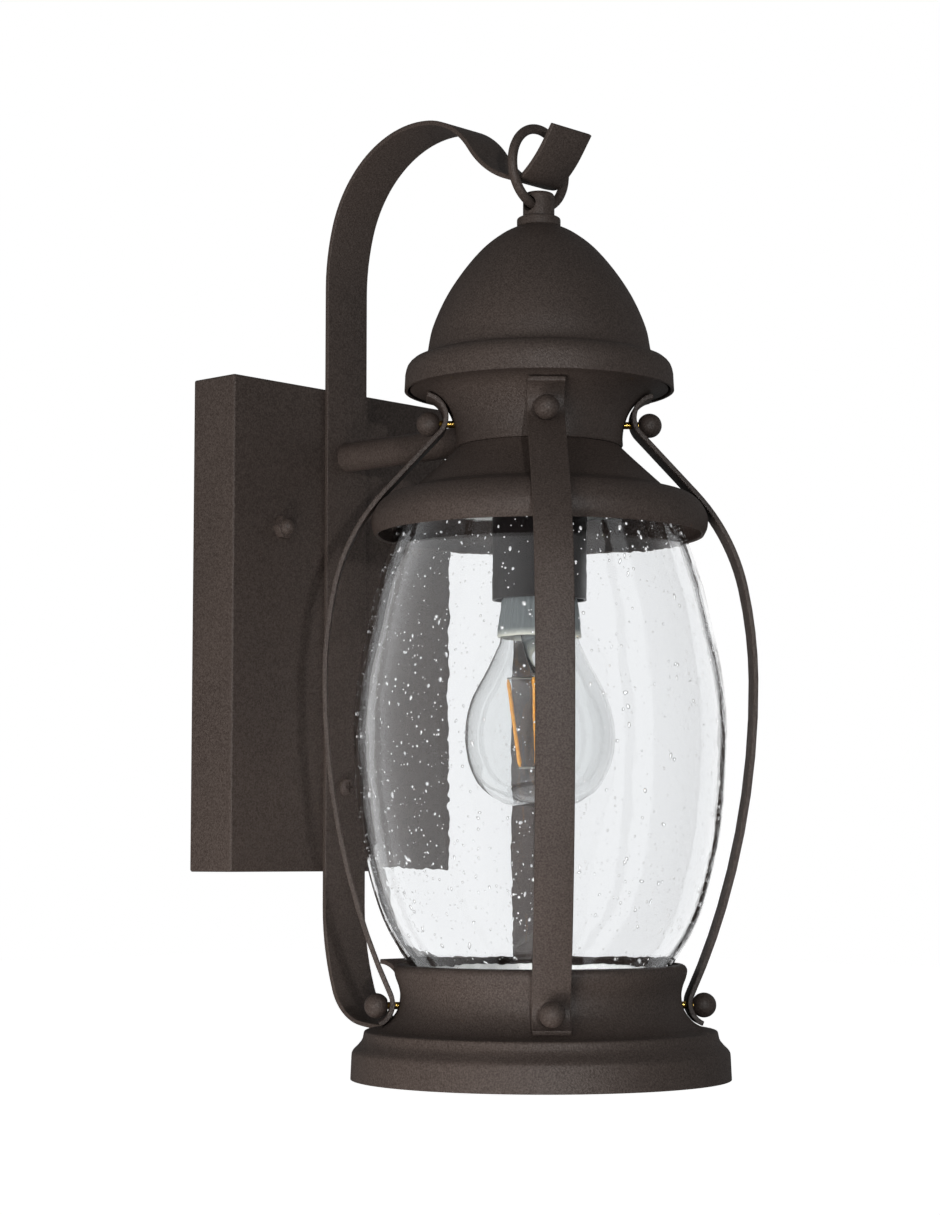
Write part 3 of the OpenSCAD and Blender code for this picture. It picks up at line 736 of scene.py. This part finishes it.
seed = start_piece("glass_seeds", bpy.ops.mesh.primitive_uv_sphere_add, segments=8, ring_count=6, radius=1)
edit(seed)
choose(seed, "VERT", lambda v: v.co.z < -0.2)
bpy.ops.transform.resize(value=(0.86, 0.86, 1), center_override=(0, 0, 0))
leave_edit()
smooth(seed, 80)
pick = random.Random(SEED_CHOICE)
all_seeds = []
for number in range(SEEDS):
    low = pick.random() < SEED_LOW_SHARE
    height = pick.uniform(44, 90) if low else pick.uniform(60, 226)
    radius, lean = barrel_at(height)
    size = min(SEED_LARGEST, SEED_SIZE * math.exp(abs(pick.gauss(0, SEED_SPREAD))))
    long = pick.choice((1, 1, 1.3, 1.8, 2.6)) if low else pick.choice((1, 1, 1, 1.25, 1.7))
    depth = pick.uniform(size + SEED_SKIN, GLASS_WALL / MM - size - SEED_SKIN)
    tilt = math.radians(pick.gauss(0, 22 if low else 14))
    turn = (Matrix.Rotation(pick.uniform(0, math.tau), 4, "Z")
        @ Matrix.Translation(((radius - depth) * MM, 0, height * MM))
        @ Matrix.Rotation(lean, 4, "Y") @ Matrix.Rotation(tilt, 4, "X")
        @ Matrix.Diagonal((size * MM, size * MM, size * long * MM, 1)))
    all_seeds.append(copy_piece(seed, f"seed_{number}", TO_LANTERN @ turn))
bpy.ops.object.select_all(action="DESELECT")
join_pieces(all_seeds[0], *all_seeds[1:])
seeds = all_seeds[0]
bpy.data.objects.remove(seed)
seeds.name = "glass_seeds"
seeds.visible_shadow = False
finish_piece(seeds, seed_air_with_painted_glint, "fixture", "seeded_glass")

# The rings are clear silicone rubber, milky with trapped air, and pass on the light they catch.
silicone, tree, shader, place = new_material("milky_silicone_rubber")
bloom = add_node(tree, "ShaderNodeTexNoise", inputs={"Vector": place, "Scale": 300.0, "Detail": 3.0})
tree.links.new(ramp(tree, bloom.outputs["Fac"], [(0.3, linear("#dfe1df")), (0.75, linear("#f0f1ef"))]),
    shader.inputs["Base Color"])
shader.inputs["Subsurface Weight"].default_value = 0.6
shader.inputs["Subsurface Radius"].default_value = (0.004, 0.004, 0.004)
shader.inputs["Roughness"].default_value = 0.45
dress_cad(silicone, "upper_gasket", "lower_gasket")


# ---------------------------------------------------------------- base
# The base is spun steel, open underneath so that a hand can change the bulb. A rolled lip, a deep
# cove and a stepped foot stiffen it, and a flat seat ring inside it holds the barrel.
BASE_LIP = [(55.2, 45.4), (56.3, 45.45), (57, 45.4), (57.9, 44.9), (58.4, 44.3), (58.75, 43.4),
    (58.8, 42.5)]
BASE_COVE = [(58.8, 42.5), (58.2, 40), (56.9, 36.4), (56.4, 32.6), (57.4, 27.4), (60.8, 22.8),
    (65, 20.3), (70, 19.2)]
BASE_FOOT = [(70.5, 19), (70.8, 18.6), (70.95, 18), (71.3, 16.2), (71.8, 15.1), (73.2, 13.4),
    (74.6, 12.1), (75.4, 11.1), (75.7, 10.3), (75.8, 9.2), (76.2, 0)]
base = spin_shell("base_spun", BASE_LIP + through(BASE_COVE, 6)[1:] + BASE_FOOT, SHEET, steps=144, crease=40)
finish_piece(base, powder_coat, "fixture", "bronze", "base")
dress_cad(powder_coat, "base_seat")


# ---------------------------------------------------------------- straps
# Four straps of flat steel are rolled to the barrel's bow. Each curls out along the neck's flare at
# the top and flares on to the base's shoulder at the bottom, and is bolted at both ends.
STRAP_WIDTH = 15 * MM
STRAP_THICK = 2 * MM
STRAP_WIDEST = (88.1 * MM, 160 * MM)
STRAP_UP = [(181.9, 11.9), (82.2, 30.9), (0, 33.2), (8.2, -124)]
STRAP_DOWN = [(315.9, -17), (280, -7.6), (7.6, 92)]
AZIMUTHS = {"back_right": 45, "back_left": 135, "front_left": 225, "front_right": 315}

outward = Vector((1, 0, 0))
widest = Vector((STRAP_WIDEST[0], 0, STRAP_WIDEST[1]))
strap = start_flat("strap", widest - outward * STRAP_THICK / 2, outward, STRAP_THICK,
    Vector((0, 1, 0)), STRAP_WIDTH)
roll_flat(widest, 90, STRAP_UP, outward)
choose(strap, "VERT", lambda corner: abs(corner.co.z - widest.z) < 0.01 * MM)
roll_flat(widest, -90, STRAP_DOWN, outward)
close_flat(strap, EDGE_ROUND)
for side, azimuth in AZIMUTHS.items():
    turned = copy_piece(strap, f"strap_rolled_{side}",
        TO_LANTERN @ Matrix.Rotation(math.radians(azimuth), 4, "Z"))
    finish_piece(turned, powder_coat, "fixture", "bronze", f"strap_{side}")
bpy.data.objects.remove(strap)


# ---------------------------------------------------------------- studs and ball nuts
# Brass studs pass through neck, base and straps with a nut inside. Outside, a turned steel ball with
# a flat seat and a blind tapped hole screws on to each by hand, and so can turn on its stud.
BALL_R = 5 * MM
BALL_SEAT = 4.4 * MM
BALL_HOLE_R = 1.55 * MM
BALL_HOLE_DEEP = 6.8 * MM
ball = start_piece("ball_nut", bpy.ops.mesh.primitive_uv_sphere_add, segments=48, ring_count=32,
    radius=BALL_R)
edit(ball)
bpy.ops.mesh.bisect(plane_co=(0, 0, -BALL_SEAT), plane_no=(0, 0, -1), use_fill=True, clear_outer=True)
choose(ball, "FACE", lambda face: face.normal.z < -0.99 and face.calc_center_median().z < -0.8 * BALL_R)
seat_r = math.sqrt(BALL_R**2 - BALL_SEAT**2)
bpy.ops.mesh.inset(thickness=seat_r - BALL_HOLE_R, depth=0)
bpy.ops.mesh.extrude_region_move(TRANSFORM_OT_translate={"value": (0, 0, BALL_HOLE_DEEP)})
leave_edit()
smooth(ball, 40)
for level in ("upper", "lower"):
    for side, azimuth in AZIMUTHS.items():
        node = f"{level}_ball_{side}"
        spot = next(joint["pos_m"] for joint in frame["joints"] if joint["name"] == node + "_turn")
        lean = Matrix.Rotation(math.radians(azimuth), 4, "Z") @ Matrix.Rotation(math.radians(90), 4, "Y")
        turned = copy_piece(ball, f"{level}_ball_nut_{side}", Matrix.Translation(spot) @ lean)
        finish_piece(turned, powder_coat, node, "bronze", node)
bpy.data.objects.remove(ball)
dress_cad(turned_brass, "upper_studs", "lower_studs", "upper_stud_nuts", "lower_stud_nuts")


# ---------------------------------------------------------------- studio
# A plain white floor lies well below the lantern, as under a light hung on a wall. A small
# flash beside the camera throws crisp shadows, and soft lamps lift the left, the foot and the back.
FLOOR_DOWN = 1.6
FLOOR_SIZE = 60
ROOM_LIGHT = 0.13
MIRRORED_ROOM = 0.25
CAMERA_AT = (-0.82257, -0.85899, -0.14019)
CAMERA_TILT = 5.29
CAMERA_TURN = 47.3
LENS = 79.97
SENSOR = 36

floor = start_piece("studio_floor", bpy.ops.mesh.primitive_plane_add, size=FLOOR_SIZE,
    location=(0, 0, -FLOOR_DOWN))
floor_white, tree, shader, place = new_material("white_studio_floor")
shader.inputs["Base Color"].default_value = linear("#fafafa")
shader.inputs["Roughness"].default_value = 0.9
shader.inputs["Emission Color"].default_value = linear("#ffffff")
shader.inputs["Emission Strength"].default_value = 0.9
floor.data.materials.append(floor_white)
floor.visible_diffuse = False
floor.visible_glossy = False
floor.visible_transmission = False

# The backdrop is white. Clear glass mirrors a darker room on the camera's side, with the backdrop at
# its edges, and the coated metal is lit only softly by the room.
room = bpy.data.worlds.new("studio_room")
room.use_nodes = True
bpy.context.scene.world = room
tree = room.node_tree
ray = add_node(tree, "ShaderNodeLightPath")
way = add_node(tree, "ShaderNodeTexCoord")
way_parts = add_node(tree, "ShaderNodeSeparateXYZ", inputs={"Vector": way.outputs["Generated"]})
mirrored = add_node(tree, "ShaderNodeMapRange", {"interpolation_type": "SMOOTHSTEP"},
    {"Value": way_parts.outputs["Y"], "From Min": -0.7, "From Max": 0.1, "To Min": MIRRORED_ROOM,
    "To Max": 1.0})
in_glass = add_node(tree, "ShaderNodeMix", inputs={"Factor": ray.outputs["Is Singular Ray"], "A": ROOM_LIGHT,
    "B": mirrored.outputs["Result"]})
in_sight = add_node(tree, "ShaderNodeMix", inputs={"Factor": ray.outputs["Is Camera Ray"],
    "A": in_glass.outputs["Result"], "B": 1.0})
tree.links.new(in_sight.outputs["Result"], tree.nodes["Background"].inputs["Strength"])
tree.nodes["Background"].inputs["Color"].default_value = (1, 1, 1, 1)


def studio_lamp(name, spot, aim, size, power, mirrored):
    """Adds a rectangular lamp that looks at a point, and says if shiny things may mirror it."""
    lamp = bpy.data.lights.new(name, "AREA")
    lamp.shape = "RECTANGLE"
    lamp.size, lamp.size_y = size
    lamp.energy = power
    holder = bpy.data.objects.new(name, lamp)
    holder.location = spot
    holder.rotation_euler = (Vector(aim) - Vector(spot)).to_track_quat("-Z", "Y").to_euler()
    holder.visible_glossy = mirrored
    holder.visible_transmission = mirrored
    bpy.context.scene.collection.objects.link(holder)


lantern_middle = (0, axis_y, 0)
studio_lamp("front_flash", (-1.05, -1.48, 0.02), lantern_middle, (0.04, 0.04), 9.5, True)
studio_lamp("left_softbox", (-1.9, -0.3, -0.35), lantern_middle, (1.2, 1.6), 31, False)
studio_lamp("low_softbox", (-0.45, -0.22, -0.5), (-0.06, -0.03, -0.15), (0.3, 0.2), 2.5, False)
studio_lamp("right_softbox", (1.6, -1.2, 0.3), lantern_middle, (1.0, 1.4), 10, False)
studio_lamp("back_softbox", (0.9, 1.6, 1.1), lantern_middle, (1.2, 1.2), 8, False)

camera_data = bpy.data.cameras.new("view")
camera_data.sensor_fit = "VERTICAL"
camera_data.sensor_height = SENSOR
camera_data.lens = LENS
camera = bpy.data.objects.new("view", camera_data)
camera.location = CAMERA_AT
camera.rotation_euler = (math.radians(90 + CAMERA_TILT), 0, math.radians(-CAMERA_TURN))
bpy.context.scene.collection.objects.link(camera)
bpy.context.scene.camera = camera
bpy.context.scene.view_settings.view_transform = "Standard"
